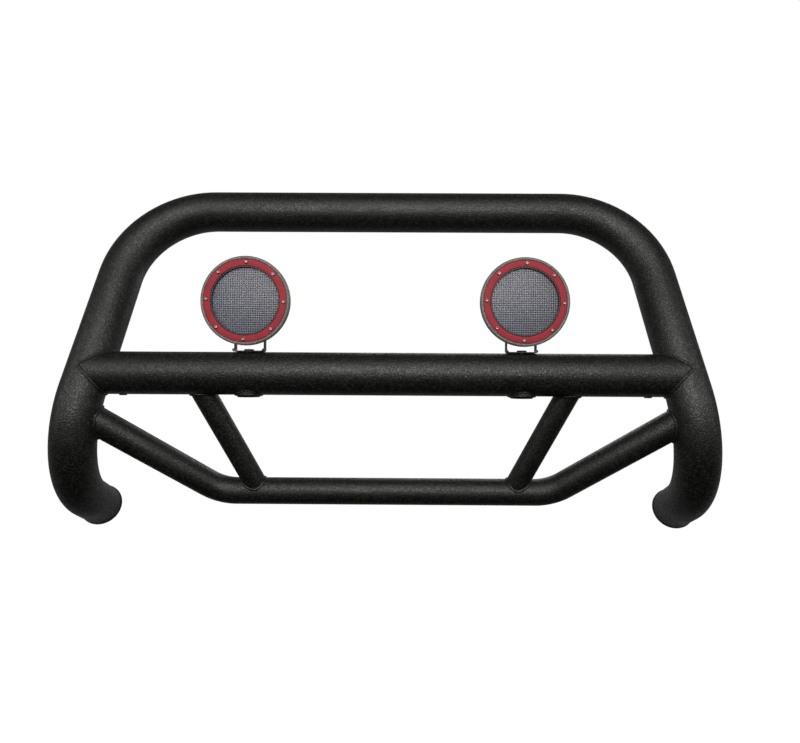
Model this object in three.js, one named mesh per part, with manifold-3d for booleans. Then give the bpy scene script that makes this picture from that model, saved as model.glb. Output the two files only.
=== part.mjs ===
// Front grille guard for a pickup or SUV, with two round LED lights on its crossbar.
// Millimetres. +X is the guard's right as seen from the front, +Y points back to the vehicle, +Z is up.
// While it is built, the origin is the middle of the crossbar. At the end the whole guard is moved,
// so that the exported origin is the bottom centre of its bounding box.

import * as THREE from 'three';
import { mergeVertices } from 'three/addons/utils/BufferGeometryUtils.js';
import Module from 'manifold-3d';

const wasm = await Module();
wasm.setup();

// ---- driving dimensions ------------------------------------------------------------------------

const GAP = 0.3; // clearance left wherever one piece is cut to fit another
const OVERLAP = 1; // how far a cutter, or a piece that is joined on, runs past the face that it meets
const MERGE_DISTANCE = 1e-4; // corners closer than this are one corner

// Main hoop: 3 inch tube, bent from one leg end over the top to the other.
const HOOP = {
  radius: 38.1,
  wall: 3,
  bendRadius: 168,
  topCorner: [490, 127, 322],
  lowerCorner: [549, -68, -173],
  legEnd: [574, 137, -265],
};

// Crossbar: 3 inch tube, coped onto the uprights.
const CROSSBAR = { radius: 38.1, wall: 3, halfLength: 526 };

// Lower bar: 2 inch tube, level in the middle and rising to the uprights at both ends.
const LOWER_BAR = {
  radius: 25.4,
  wall: 2.5,
  bendRadius: 80,
  corner: [316, 89, -225.5],
  end: [537, -20, -65],
};

// Struts: 1 5/8 inch tube between the crossbar and the lower bar.
const STRUT = { radius: 20.64, wall: 2.5, topX: 343, bottomX: 242.5 };

// Plate behind each leg, where the guard bolts to the vehicle's bracket.
const LEG_CAP_THICKNESS = 4;
const LEG_PLATE = { x: 590, thickness: 8, length: 62, halfHeight: 24, corner: 14, setback: 1.6 };
const LEG_PLATE_HOLES = { radius: 6.5, along: [19, 44] };

// Vertical threaded bush through the crossbar under each light, flush on top and with a flange below.
const LIGHT_X = 242;
const BUSH = { radius: 9, flangeRadius: 23, flangeBottom: -42, flangeChamfer: 4, top: 38.1 };

// Rubber grommet under each end of the crossbar, where the lights' wiring goes in.
const GROMMET = { x: 466, radius: 6.5, neckRadius: 5, bore: 2.5, proud: 1.8, depth: 8 };

// U bracket that carries a light, clamped on the bush by the pan bolt, which has a low round head.
const BRACKET = {
  earSpacing: 52.5,
  thickness: 2,
  front: -12,
  back: 15,
  earRadius: 7,
  footHeight: 2,
  footSlope: 3,
};
const BRACKET_BOTTOM = BUSH.top + GAP;
const TILT_Y = 8;
const TILT_HEIGHT = 47.6; // tilt axis above the bracket's underside
const PAN_BOLT = { shank: 5, head: 8.5, headHeight: 2.4, socket: 3, socketDepth: 1.6, end: -34 };
const TILT_BOLT = { shank: 4, head: 7.5, headHeight: 5.3, holeDepth: 12, tipGap: 1 };

// One light. Depths run back along +Y from its tilt axis, so the front has negative depths.
const LENS_AXIS_HEIGHT = 40; // lens axis above the tilt axis
const RIM = { radius: 77.4, lip: 72.4, front: -40, chamfer: 2, back: -28 };
const BODY = {
  frontRadius: 64,
  frontDepth: -25,
  shoulderRadius: 61,
  shoulder: -14,
  backRadius: 52,
  back: -12,
};
const SEAT = { radius: 63.6, front: -36.7, ledge: -29.6 };
const POCKET = { radius: 57.5, floor: -16 };
const TRIM_RING = { outer: 72, inner: 60.3, front: -40, thickness: 3 };
const TRIM_SCREW = {
  count: 8,
  circle: 66.8,
  turn: -1.9,
  head: 3.3,
  headTop: 2.3,
  headHeight: 2,
  headEdge: 1,
  shank: 1.6,
  hole: 2,
  reach: 9,
};
const BEZEL = { inner: 57.8, lip: 60, flange: 63, front: -39.4, flangeFront: -36.7, back: -35.2 };
const LENS = { radius: 63, front: -34.9, back: -31.9, crown: 2.6, crownSteps: 3, bezelGap: 1 };
const GASKET = { outer: 63, inner: 58, front: -31.6, back: -29.9 };
const REFLECTOR = { radius: 56.5, front: -29, back: -19.4, cupFront: 8.6, cupBack: 4.6, pitch: 20 };
const LED_BOARD = { radius: 54, front: -18, back: -16.3, chip: 5, chipHeight: 1 };
const LUG = { radius: 9, sideGap: 0.4, webDrop: 4.5 };
const FINS = { thickness: 2.6, offsets: [13.5, 22.5, 31.5, 40], depth: 8, margin: 2.5, bottom: 14 };
const GLAND = { radius: 8, neck: 6, stem: 4.5, bore: 3.2, flangeBack: -5, neckBack: 4 };

// Numbers of sides and steps that the curved surfaces are made of.
const SIDES = {
  mainTube: 24,
  mainBore: 12,
  smallTube: 16,
  smallBore: 10,
  light: 28,
  turned: 16,
  hole: 8,
  hexagon: 6,
};
const BEND_STEPS = { main: 6, lower: 4 };
const CORNER_STEPS = { legPlate: 3, bracketEar: 5 };

// ---- materials ---------------------------------------------------------------------------------

function finish(color, roughness, metalness) {
  return new THREE.MeshStandardMaterial({ color, roughness, metalness });
}

const powderCoat = finish(0x1b1b19, 0.62, 0.15);
const bracketBlack = finish(0x141414, 0.5, 0.3);
const brightSteel = finish(0xe4e2de, 0.25, 0.95);
const blackBolt = finish(0x202022, 0.45, 0.7);
const castGrey = finish(0x5c5e57, 0.55, 0.2);
const redAnodised = finish(0xb3202c, 0.4, 0.35);
const bezelBlack = finish(0x0e0e10, 0.35, 0.1);
const lensGlass = finish(0x8d96a6, 0.15, 0.0);
const reflectorChrome = finish(0xd4d8de, 0.2, 0.9);
const boardWhite = finish(0xe6e4d8, 0.5, 0.0);
const rubber = finish(0x121212, 0.85, 0.0);

// ---- helpers -----------------------------------------------------------------------------------

const vector = (point) => new THREE.Vector3(...point);
const mirrored = ([x, y, z]) => [-x, y, z];

// Points of a circle as a polygon, whose corners lie on the circle.
function circlePoints(radius, sides, centreX = 0, centreY = 0) {
  return Array.from({ length: sides }, (_, i) => {
    const angle = (2 * Math.PI * i) / sides;
    return new THREE.Vector2(centreX + radius * Math.cos(angle), centreY + radius * Math.sin(angle));
  });
}

// Radius of a polygon's corners whose flats clear a round piece by the usual gap.
const clearRadius = (radius, sides) => (radius + GAP) / Math.cos(Math.PI / sides);

// Radius of a polygon's corners that gives it a circle's area, so that a tube keeps its true weight.
function sameAreaRadius(radius, sides) {
  const step = (2 * Math.PI) / sides;
  return radius * Math.sqrt(step / Math.sin(step));
}

// Centre line of a bent tube: straight between its corners, with an arc at each inner corner.
class BentPath extends THREE.Curve {
  constructor(corners, bendRadius, bendSteps) {
    super();
    this.stations = [];
    const last = corners.length - 1;
    this.addStation(corners[0], corners[1].clone().sub(corners[0]));
    for (let i = 1; i < last; i += 1) {
      this.addBend(corners[i - 1], corners[i], corners[i + 1], bendRadius, bendSteps);
    }
    this.addStation(corners[last], corners[last].clone().sub(corners[last - 1]));
  }

  get spans() {
    return this.stations.length - 1;
  }

  addStation(point, tangent) {
    this.stations.push({ point: point.clone(), tangent: tangent.clone().normalize() });
  }

  addBend(before, corner, after, bendRadius, bendSteps) {
    const into = corner.clone().sub(before).normalize();
    const out = after.clone().sub(corner).normalize();
    const turn = into.angleTo(out);
    const start = corner.clone().addScaledVector(into, -bendRadius * Math.tan(turn / 2));
    const inward = out.clone().addScaledVector(into, -out.dot(into)).normalize();
    const centre = start.clone().addScaledVector(inward, bendRadius);
    for (let i = 0; i <= bendSteps; i += 1) {
      const angle = (turn * i) / bendSteps;
      const point = centre
        .clone()
        .addScaledVector(inward, -bendRadius * Math.cos(angle))
        .addScaledVector(into, bendRadius * Math.sin(angle));
      const tangent = into.clone().multiplyScalar(Math.cos(angle)).addScaledVector(inward, Math.sin(angle));
      this.addStation(point, tangent);
    }
  }

  between(t, key, target) {
    const place = Math.min(Math.max(t, 0), 1) * this.spans;
    const index = Math.min(Math.floor(place), this.spans - 1);
    return target.lerpVectors(this.stations[index][key], this.stations[index + 1][key], place - index);
  }

  getPoint(t, target = new THREE.Vector3()) {
    return this.between(t, 'point', target);
  }

  getTangent(t, target = new THREE.Vector3()) {
    return this.between(t, 'tangent', target).normalize();
  }

  // Equal steps go from station to station, so long straights take one step and arcs take several.
  getUtoTmapping(u) {
    return u;
  }
}

const straightPath = (from, to) => new BentPath([vector(from), vector(to)], 0, 0);

// Round rod along a path.
function rodAlong(path, radius, sides) {
  const section = new THREE.Shape(circlePoints(radius, sides));
  return new THREE.ExtrudeGeometry(section, { steps: path.spans, bevelEnabled: false, extrudePath: path });
}

// Round tube along a path, open at both ends.
function tubeAlong(path, { radius, wall }, sides, boreSides) {
  const section = new THREE.Shape(circlePoints(radius, sides));
  section.holes.push(new THREE.Path(circlePoints(sameAreaRadius(radius - wall, boreSides), boreSides)));
  return new THREE.ExtrudeGeometry(section, { steps: path.spans, bevelEnabled: false, extrudePath: path });
}

// Turned piece from [radius, height] points, around Y unless it is rotated afterwards.
function turned(profile, sides) {
  return new THREE.LatheGeometry(profile.map(([r, y]) => new THREE.Vector2(r, y)), sides);
}

// Ring with a rectangular section, around Y.
function ring(inner, outer, low, high, sides) {
  return turned([[inner, low], [outer, low], [outer, high], [inner, high], [inner, low]], sides);
}

// Straight round rod around Z, from one height to another.
function uprightRod(radius, bottom, top, sides) {
  return new THREE.CylinderGeometry(radius, radius, top - bottom, sides)
    .rotateX(Math.PI / 2)
    .translate(0, 0, (top + bottom) / 2);
}

// Straight round rod around X, from one X to another.
function sidewaysRod(radius, from, to, sides) {
  return new THREE.CylinderGeometry(radius, radius, Math.abs(to - from), sides)
    .rotateZ(Math.PI / 2)
    .translate((from + to) / 2, 0, 0);
}

// Box between two corners.
function boxBetween([x0, y0, z0], [x1, y1, z1]) {
  const block = new THREE.BoxGeometry(x1 - x0, y1 - y0, z1 - z0);
  return block.translate((x0 + x1) / 2, (y0 + y1) / 2, (z0 + z1) / 2);
}

// Closed mesh to solid: shared corners are merged, and triangles that a lathe leaves on its axis go.
function toSolid(geometry) {
  const bare = geometry.clone();
  bare.deleteAttribute('normal');
  bare.deleteAttribute('uv');
  const merged = mergeVertices(bare, MERGE_DISTANCE);
  const index = merged.index.array;
  const triangles = [];
  for (let i = 0; i < index.length; i += 3) {
    const [a, b, c] = index.slice(i, i + 3);
    if (a !== b && b !== c && c !== a) triangles.push(a, b, c);
  }
  const mesh = new wasm.Mesh({
    numProp: 3,
    vertProperties: new Float32Array(merged.attributes.position.array),
    triVerts: new Uint32Array(triangles),
  });
  return new wasm.Manifold(mesh);
}

function toGeometry(solid) {
  const mesh = solid.getMesh();
  const geometry = new THREE.BufferGeometry();
  geometry.setAttribute('position', new THREE.BufferAttribute(mesh.vertProperties, 3));
  geometry.setIndex(new THREE.BufferAttribute(mesh.triVerts, 1));
  geometry.computeVertexNormals();
  return geometry;
}

// One geometry, joined with others and then cut by others.
function shaped(base, { join = [], cut = [] }) {
  let solid = toSolid(base);
  for (const piece of join) solid = solid.add(toSolid(piece));
  for (const piece of cut) solid = solid.subtract(toSolid(piece));
  return toGeometry(solid);
}

function addPart(parent, name, geometry, material) {
  const mesh = new THREE.Mesh(geometry, material);
  mesh.name = name;
  parent.add(mesh);
  return mesh;
}

// ---- tube frame --------------------------------------------------------------------------------

const hoopPath = new BentPath(
  [HOOP.legEnd, HOOP.lowerCorner, HOOP.topCorner]
    .map(mirrored)
    .concat([HOOP.topCorner, HOOP.lowerCorner, HOOP.legEnd])
    .map(vector),
  HOOP.bendRadius,
  BEND_STEPS.main,
);
const crossbarPath = straightPath([-CROSSBAR.halfLength, 0, 0], [CROSSBAR.halfLength, 0, 0]);
const lowerBarPath = new BentPath(
  [mirrored(LOWER_BAR.end), mirrored(LOWER_BAR.corner), LOWER_BAR.corner, LOWER_BAR.end].map(vector),
  LOWER_BAR.bendRadius,
  BEND_STEPS.lower,
);

// Solid stand-ins for the bars' outsides, a little larger, that the neighbours are coped with.
const clearRod = (path, radius, sides) => rodAlong(path, clearRadius(radius, sides), sides);
const hoopOutside = clearRod(hoopPath, HOOP.radius, SIDES.mainTube);
const crossbarOutside = clearRod(crossbarPath, CROSSBAR.radius, SIDES.mainTube);
const lowerBarOutside = clearRod(lowerBarPath, LOWER_BAR.radius, SIDES.smallTube);

function mainHoop() {
  return tubeAlong(hoopPath, HOOP, SIDES.mainTube, SIDES.mainBore);
}

function crossTube() {
  const tube = tubeAlong(crossbarPath, CROSSBAR, SIDES.mainTube, SIDES.mainBore);
  const bushHole = clearRadius(BUSH.radius, SIDES.turned);
  const grommetHole = clearRadius(GROMMET.neckRadius, SIDES.hole);
  const clear = CROSSBAR.radius + OVERLAP;
  const cuts = [hoopOutside];
  for (const side of [-1, 1]) {
    cuts.push(uprightRod(bushHole, -clear, clear, SIDES.turned).translate(side * LIGHT_X, 0, 0));
    cuts.push(uprightRod(grommetHole, -clear, 0, SIDES.hole).translate(side * GROMMET.x, 0, 0));
  }
  return shaped(tube, { cut: cuts });
}

function lowerTube() {
  const tube = tubeAlong(lowerBarPath, LOWER_BAR, SIDES.smallTube, SIDES.smallBore);
  return shaped(tube, { cut: [hoopOutside] });
}

function strut(side) {
  const top = [side * STRUT.topX, 0, 0];
  const bottom = [side * STRUT.bottomX, LOWER_BAR.corner[1], LOWER_BAR.corner[2]];
  const tube = tubeAlong(straightPath(top, bottom), STRUT, SIDES.smallTube, SIDES.smallBore);
  return shaped(tube, { cut: [crossbarOutside, lowerBarOutside] });
}

// Steel disc that closes the end of a leg, square to the leg's own direction.
function legCap() {
  return new THREE.CylinderGeometry(HOOP.radius, HOOP.radius, LEG_CAP_THICKNESS, SIDES.mainTube)
    .rotateX(Math.PI / 2)
    .translate(0, 0, GAP + LEG_CAP_THICKNESS / 2);
}

function placeLegCap(mesh, side) {
  const end = hoopPath.stations[side < 0 ? 0 : hoopPath.spans];
  const outward = end.tangent.clone().multiplyScalar(side);
  mesh.position.copy(end.point);
  mesh.quaternion.setFromUnitVectors(new THREE.Vector3(0, 0, 1), outward);
}

// Plate outline in its own plane: first axis along the leg, second axis across it.
function legPlate() {
  const { length, halfHeight, corner, thickness } = LEG_PLATE;
  const outline = new THREE.Shape();
  outline.moveTo(0, -halfHeight);
  outline.lineTo(length - corner, -halfHeight);
  outline.absarc(length - corner, -halfHeight + corner, corner, -Math.PI / 2, 0, false);
  outline.absarc(length - corner, halfHeight - corner, corner, 0, Math.PI / 2, false);
  outline.lineTo(0, halfHeight);
  for (const along of LEG_PLATE_HOLES.along) {
    outline.holes.push(new THREE.Path(circlePoints(LEG_PLATE_HOLES.radius, SIDES.turned, along, 0)));
  }
  const curveSegments = CORNER_STEPS.legPlate;
  return new THREE.ExtrudeGeometry(outline, { depth: thickness, bevelEnabled: false, curveSegments })
    .translate(0, 0, -thickness / 2);
}

// The plate stands upright in a plane of constant X and runs back and down with the leg.
function placeLegPlate(mesh, side) {
  const end = hoopPath.stations[side < 0 ? 0 : hoopPath.spans];
  const along = end.tangent.clone().multiplyScalar(side);
  const start = end.point.clone().addScaledVector(along, GAP + LEG_CAP_THICKNESS + LEG_PLATE.setback);
  along.setX(0).normalize();
  const normal = new THREE.Vector3(side, 0, 0);
  const across = normal.clone().cross(along);
  mesh.quaternion.setFromRotationMatrix(new THREE.Matrix4().makeBasis(along, across, normal));
  mesh.position.set(side * LEG_PLATE.x, start.y, start.z);
}

// ---- light mounts on the crossbar --------------------------------------------------------------

// Bush with a saddle flange under the tube. The flange is cut to the tube, the bush goes through it.
function lightBush() {
  const { radius, flangeRadius, flangeBottom, flangeChamfer, top } = BUSH;
  const bore = clearRadius(PAN_BOLT.shank, SIDES.hole);
  const flangeProfile = [
    [0, flangeBottom],
    [flangeRadius - flangeChamfer, flangeBottom],
    [flangeRadius, flangeBottom + flangeChamfer],
    [flangeRadius, 0],
    [0, 0],
  ];
  const flange = shaped(turned(flangeProfile, SIDES.turned).rotateX(Math.PI / 2), { cut: [crossbarOutside] });
  return shaped(flange, {
    join: [uprightRod(radius, flangeBottom + OVERLAP, top, SIDES.turned)],
    cut: [uprightRod(bore, flangeBottom - OVERLAP, top + OVERLAP, SIDES.hole)],
  });
}

function wireGrommet() {
  const { radius, neckRadius, bore, proud, depth } = GROMMET;
  const low = -CROSSBAR.radius - proud;
  const neckStart = -CROSSBAR.radius - GAP;
  const outside = [[radius, low], [radius, neckStart], [neckRadius, neckStart], [neckRadius, low + depth]];
  return turned([[bore, low], ...outside, [bore, low + depth], [bore, low]], SIDES.hole).rotateX(Math.PI / 2);
}

// Bolt with a low round head and a hexagon socket, around Z, with the underside of its head at height 0.
function panBolt(length) {
  const { shank, head, headHeight, socket, socketDepth } = PAN_BOLT;
  const overHead = headHeight + OVERLAP;
  return shaped(uprightRod(head, 0, headHeight, SIDES.turned), {
    join: [uprightRod(shank, -length, headHeight / 2, SIDES.hole)],
    cut: [uprightRod(socket, headHeight - socketDepth, overHead, SIDES.hexagon)],
  });
}

// Hexagon-head bolt around Z, with the underside of its head at height 0.
function hexBolt({ shank, head, headHeight }, length) {
  const hexagon = new THREE.CylinderGeometry(head, head, headHeight, SIDES.hexagon)
    .rotateX(Math.PI / 2)
    .translate(0, 0, headHeight / 2);
  return shaped(hexagon, { join: [uprightRod(shank, -length, headHeight / 2, SIDES.hole)] });
}

// ---- light bracket -----------------------------------------------------------------------------

// Bent from one strip. Its origin is on the pan axis at the underside of the base.
function lightBracket() {
  const outerHalf = (BRACKET.earSpacing + BRACKET.thickness) / 2;
  const innerHalf = outerHalf - BRACKET.thickness;
  const top = TILT_HEIGHT + BRACKET.earRadius;
  const rightHalf = [[outerHalf, 0], [outerHalf, top], [innerHalf, top], [innerHalf, BRACKET.thickness]];
  const leftHalf = rightHalf.map(([x, z]) => [-x, z]).reverse();
  const uSection = new THREE.Shape(rightHalf.concat(leftHalf).map(([x, z]) => new THREE.Vector2(x, z)));
  const depth = BRACKET.back - BRACKET.front;
  const strip = new THREE.ExtrudeGeometry(uSection, { depth, bevelEnabled: false })
    .rotateX(Math.PI / 2)
    .translate(0, BRACKET.back, 0);

  const earFront = TILT_Y - BRACKET.earRadius;
  const earBack = TILT_Y + BRACKET.earRadius;
  const slopeTop = BRACKET.footHeight + BRACKET.footSlope;
  const side = new THREE.Shape();
  side.moveTo(BRACKET.front, -OVERLAP);
  side.lineTo(BRACKET.back, -OVERLAP);
  side.lineTo(BRACKET.back, BRACKET.footHeight);
  side.lineTo(earBack, slopeTop);
  side.absarc(TILT_Y, TILT_HEIGHT, BRACKET.earRadius, 0, Math.PI, false);
  side.lineTo(earFront, slopeTop);
  side.lineTo(earFront - BRACKET.footSlope, BRACKET.footHeight);
  side.lineTo(BRACKET.front, BRACKET.footHeight);
  const width = 2 * (outerHalf + OVERLAP);
  const curveSegments = CORNER_STEPS.bracketEar;
  const sideBlank = new THREE.ExtrudeGeometry(side, { depth: width, bevelEnabled: false, curveSegments })
    .translate(0, 0, -width / 2)
    .rotateX(Math.PI / 2)
    .rotateZ(Math.PI / 2);

  const earBore = clearRadius(TILT_BOLT.shank, SIDES.hole);
  const panBore = clearRadius(PAN_BOLT.shank, SIDES.hole);
  const earHole = sidewaysRod(earBore, -width / 2, width / 2, SIDES.hole);
  const panHole = uprightRod(panBore, -OVERLAP, BRACKET.thickness + OVERLAP, SIDES.hole);
  const solid = toSolid(strip)
    .intersect(toSolid(sideBlank))
    .subtract(toSolid(earHole.translate(0, TILT_Y, TILT_HEIGHT)))
    .subtract(toSolid(panHole));
  return toGeometry(solid);
}

// ---- light -------------------------------------------------------------------------------------
// Every piece of a light is made around its lens axis, which is the Y axis here.

function screwAngles() {
  return Array.from({ length: TRIM_SCREW.count }, (_, i) => {
    return THREE.MathUtils.degToRad(90 + TRIM_SCREW.turn + (360 * i) / TRIM_SCREW.count);
  });
}

// Rod along Y at a place on the light's face.
function depthRod(radius, from, to, sides, x = 0, z = 0) {
  return new THREE.CylinderGeometry(radius, radius, to - from, sides).translate(x, (from + to) / 2, z);
}

function housing() {
  const pot = turned([
    [0, POCKET.floor],
    [POCKET.radius, POCKET.floor],
    [POCKET.radius, SEAT.ledge],
    [SEAT.radius, SEAT.ledge],
    [SEAT.radius, SEAT.front],
    [RIM.lip, SEAT.front],
    [RIM.lip, RIM.front],
    [RIM.radius - RIM.chamfer, RIM.front],
    [RIM.radius, RIM.front + RIM.chamfer],
    [RIM.radius, RIM.back],
    [BODY.frontRadius, BODY.frontDepth],
    [BODY.shoulderRadius, BODY.shoulder],
    [BODY.backRadius, BODY.back],
    [0, BODY.back],
  ], SIDES.light);

  const lugHalf = BRACKET.earSpacing / 2 - BRACKET.thickness / 2 - LUG.sideGap;
  const lugRod = sidewaysRod(LUG.radius, -lugHalf, lugHalf, SIDES.turned).translate(0, 0, -LENS_AXIS_HEIGHT);
  const lugWeb = boxBetween(
    [-lugHalf, BODY.back - OVERLAP, -LENS_AXIS_HEIGHT - LUG.webDrop],
    [lugHalf, 0, -LENS_AXIS_HEIGHT + LUG.radius],
  );
  const joins = [lugRod, lugWeb];
  for (const offset of FINS.offsets) {
    const reach = Math.sqrt((BODY.backRadius - FINS.margin) ** 2 - offset ** 2);
    const low = Math.max(-reach, FINS.bottom - LENS_AXIS_HEIGHT);
    for (const side of [-1, 1]) {
      const x = side * offset;
      const half = FINS.thickness / 2;
      joins.push(boxBetween([x - half, BODY.back - OVERLAP, low], [x + half, FINS.depth, reach]));
    }
  }

  const glandBore = clearRadius(GLAND.stem, SIDES.turned);
  const cuts = [depthRod(glandBore, POCKET.floor - OVERLAP, BODY.back + OVERLAP, SIDES.turned)];
  const tapped = clearRadius(TILT_BOLT.shank, SIDES.hole);
  for (const side of [-1, 1]) {
    const mouth = side * (lugHalf + OVERLAP);
    const bottom = side * (lugHalf - TILT_BOLT.holeDepth);
    cuts.push(sidewaysRod(tapped, mouth, bottom, SIDES.hole).translate(0, 0, -LENS_AXIS_HEIGHT));
  }
  const screwHoleEnd = TRIM_RING.front + TRIM_SCREW.reach + OVERLAP;
  for (const angle of screwAngles()) {
    const x = TRIM_SCREW.circle * Math.cos(angle);
    const z = TRIM_SCREW.circle * Math.sin(angle);
    cuts.push(depthRod(TRIM_SCREW.hole, SEAT.front - OVERLAP, screwHoleEnd, SIDES.hole, x, z));
  }
  return shaped(pot, { join: joins, cut: cuts });
}

function trimRing() {
  const face = new THREE.Shape(circlePoints(TRIM_RING.outer, SIDES.light));
  face.holes.push(new THREE.Path(circlePoints(TRIM_RING.inner, SIDES.light)));
  for (const angle of screwAngles()) {
    // The face is drawn in X and Z, then laid with its depth along Y, which turns Z over.
    const x = TRIM_SCREW.circle * Math.cos(angle);
    const z = TRIM_SCREW.circle * Math.sin(angle);
    face.holes.push(new THREE.Path(circlePoints(TRIM_SCREW.hole, SIDES.hole, x, -z)));
  }
  return new THREE.ExtrudeGeometry(face, { depth: TRIM_RING.thickness, bevelEnabled: false })
    .rotateX(-Math.PI / 2)
    .translate(0, TRIM_RING.front, 0);
}

function trimScrew() {
  const underHead = TRIM_RING.front - GAP;
  const { head, headTop, headHeight, headEdge, shank, reach } = TRIM_SCREW;
  return turned([
    [0, underHead - headHeight],
    [headTop, underHead - headHeight],
    [head, underHead - headEdge],
    [head, underHead],
    [shank, underHead],
    [shank, TRIM_RING.front + reach],
    [0, TRIM_RING.front + reach],
  ], SIDES.hole);
}

function innerBezel() {
  const { inner, lip, flange, front, flangeFront, back } = BEZEL;
  return turned([[inner, front], [lip, front], [lip, flangeFront], [flange, flangeFront], [flange, back],
    [inner, back], [inner, front]], SIDES.light);
}

// Lens with a flat flange, whose crowned middle stands inside the bezel.
function lens() {
  const crownRadius = BEZEL.inner - LENS.bezelGap;
  const crown = Array.from({ length: LENS.crownSteps + 1 }, (_, i) => {
    const out = i / LENS.crownSteps;
    return [crownRadius * out, LENS.front - LENS.crown * (1 - out ** 2)];
  });
  return turned([
    ...crown,
    [LENS.radius, LENS.front],
    [LENS.radius, LENS.back],
    [0, LENS.back],
  ], SIDES.light);
}

function lensGasket() {
  return ring(GASKET.inner, GASKET.outer, GASKET.front, GASKET.back, SIDES.light);
}

// Places of the LEDs: a three by three grid, with a cup of the reflector over each.
function ledPlaces() {
  const steps = [-REFLECTOR.pitch, 0, REFLECTOR.pitch];
  return steps.flatMap((x) => steps.map((z) => [x, z]));
}

function reflector() {
  const plate = depthRod(REFLECTOR.radius, REFLECTOR.front, REFLECTOR.back, SIDES.light);
  const height = REFLECTOR.back - REFLECTOR.front + 2 * OVERLAP;
  const middle = (REFLECTOR.back + REFLECTOR.front) / 2;
  const cup = new THREE.CylinderGeometry(REFLECTOR.cupBack, REFLECTOR.cupFront, height, SIDES.hole);
  const cups = ledPlaces().map(([x, z]) => cup.clone().translate(x, middle, z));
  return shaped(plate, { cut: cups });
}

function ledBoard() {
  const plate = depthRod(LED_BOARD.radius, LED_BOARD.front, LED_BOARD.back, SIDES.light);
  const half = LED_BOARD.chip / 2;
  const chips = ledPlaces().map(([x, z]) => {
    return boxBetween(
      [x - half, LED_BOARD.front - LED_BOARD.chipHeight, z - half],
      [x + half, LED_BOARD.back - LED_BOARD.chipHeight / 2, z + half],
    );
  });
  return shaped(plate, { join: chips });
}

function cableGland() {
  const { radius, neck, stem, bore, flangeBack, neckBack } = GLAND;
  const front = POCKET.floor + GAP;
  const flangeFront = BODY.back + GAP;
  return turned([
    [bore, front],
    [stem, front],
    [stem, flangeFront],
    [radius, flangeFront],
    [radius, flangeBack],
    [neck, flangeBack],
    [neck, neckBack],
    [bore, neckBack],
    [bore, front],
  ], SIDES.turned);
}

// ---- assembly ----------------------------------------------------------------------------------

const guard = new THREE.Group();

addPart(guard, 'main_hoop', mainHoop(), powderCoat);
addPart(guard, 'cross_tube', crossTube(), powderCoat);
addPart(guard, 'lower_tube', lowerTube(), powderCoat);

for (const [name, side] of [['left', -1], ['right', 1]]) {
  addPart(guard, `${name}_strut`, strut(side), powderCoat);
  placeLegCap(addPart(guard, `${name}_leg_cap`, legCap(), powderCoat), side);
  placeLegPlate(addPart(guard, `${name}_leg_plate`, legPlate(), powderCoat), side);
  addPart(guard, `${name}_wire_grommet`, wireGrommet(), rubber).position.setX(side * GROMMET.x);
  addLight(name, side);
}

function addLight(name, side) {
  const mount = new THREE.Group();
  mount.position.setX(side * LIGHT_X);
  guard.add(mount);
  addPart(mount, `${name}_light_bush`, lightBush(), powderCoat);
  const headBottom = BRACKET_BOTTOM + BRACKET.thickness + GAP;
  const bolt = panBolt(headBottom - PAN_BOLT.end);
  addPart(mount, `${name}_pan_bolt`, bolt, blackBolt).position.setZ(headBottom);

  const pan = new THREE.Group();
  pan.position.setZ(BRACKET_BOTTOM);
  mount.add(pan);
  addPart(pan, `${name}_light_bracket`, lightBracket(), bracketBlack);

  const tilt = new THREE.Group();
  tilt.position.set(0, TILT_Y, TILT_HEIGHT);
  pan.add(tilt);
  const headSeat = (BRACKET.earSpacing + BRACKET.thickness) / 2 + GAP;
  const lugFace = BRACKET.earSpacing / 2 - BRACKET.thickness / 2 - LUG.sideGap;
  const boltLength = headSeat - lugFace + TILT_BOLT.holeDepth - TILT_BOLT.tipGap;
  for (const [place, end] of [['outer', side], ['inner', -side]]) {
    const bolt = addPart(tilt, `${name}_${place}_tilt_bolt`, hexBolt(TILT_BOLT, boltLength), blackBolt);
    bolt.rotation.y = (end * Math.PI) / 2;
    bolt.position.setX(end * headSeat);
  }

  const face = new THREE.Group();
  face.position.setZ(LENS_AXIS_HEIGHT);
  tilt.add(face);
  addPart(face, `${name}_light_housing`, housing(), castGrey);
  addPart(face, `${name}_cable_gland`, cableGland(), rubber);
  addPart(face, `${name}_led_board`, ledBoard(), boardWhite);
  addPart(face, `${name}_reflector`, reflector(), reflectorChrome);
  addPart(face, `${name}_lens_gasket`, lensGasket(), rubber);
  addPart(face, `${name}_lens`, lens(), lensGlass);
  addPart(face, `${name}_inner_bezel`, innerBezel(), bezelBlack);
  addPart(face, `${name}_trim_ring`, trimRing(), redAnodised);
  screwAngles().forEach((angle, i) => {
    const screw = addPart(face, `${name}_trim_screw_${i + 1}`, trimScrew(), brightSteel);
    screw.position.set(TRIM_SCREW.circle * Math.cos(angle), 0, TRIM_SCREW.circle * Math.sin(angle));
  });
}

// Move the guard so that the origin is the bottom centre of its box.
const box = new THREE.Box3().setFromObject(guard, true);
const centre = box.getCenter(new THREE.Vector3());
guard.position.set(-centre.x, -centre.y, -box.min.z);

const grilleGuard = new THREE.Group();
grilleGuard.add(guard);

export default grilleGuard;
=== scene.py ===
import math

import bpy
import numpy as np
from mathutils import Matrix, Vector


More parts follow.
